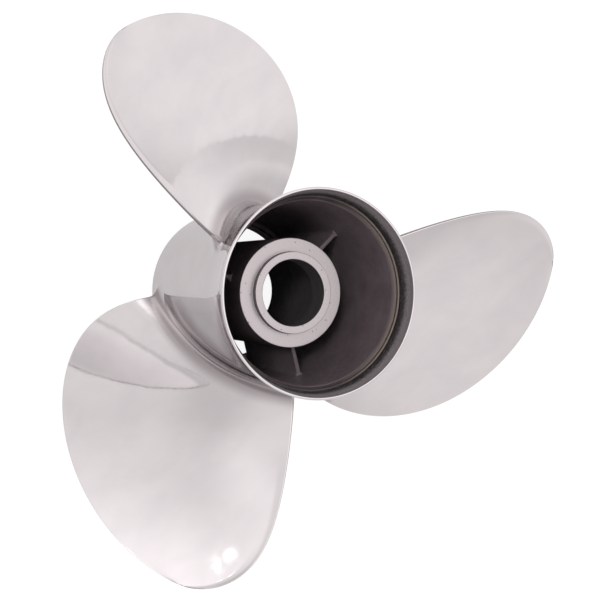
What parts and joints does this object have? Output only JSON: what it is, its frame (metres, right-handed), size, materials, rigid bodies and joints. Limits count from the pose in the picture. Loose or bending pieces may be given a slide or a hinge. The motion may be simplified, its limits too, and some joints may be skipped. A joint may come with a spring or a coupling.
{
  "type": "outboard boat propeller",
  "caption": "Polished stainless outboard boat propeller: raked, swept blades on a flared exhaust barrel, with an inner hub carried on ribs.",
  "frame": {"origin": "on the shaft axis, in the plane of the barrel's front end, which is also the plane that the part stands on", "axes": "+Z along the shaft axis, from the front (gearcase) end to the aft rim; the first blade's tip points along +Y"},
  "size_m": [0.3341, 0.3232, 0.156],
  "materials": {
    "polished_stainless": "mirror polished",
    "machined_stainless": "turned, matte",
    "black_painted_casting": "semi-gloss black paint"
  },
  "bodies": {
    "root": {"barrel": "polished_stainless", "diffuser_ring": "polished_stainless", "inner_hub": "machined_stainless", "rib_1": "black_painted_casting", "rib_2": "black_painted_casting", "rib_3": "black_painted_casting", "blade_1": "polished_stainless", "blade_2": "polished_stainless", "blade_3": "polished_stainless"}
  },
  "joints": []
}
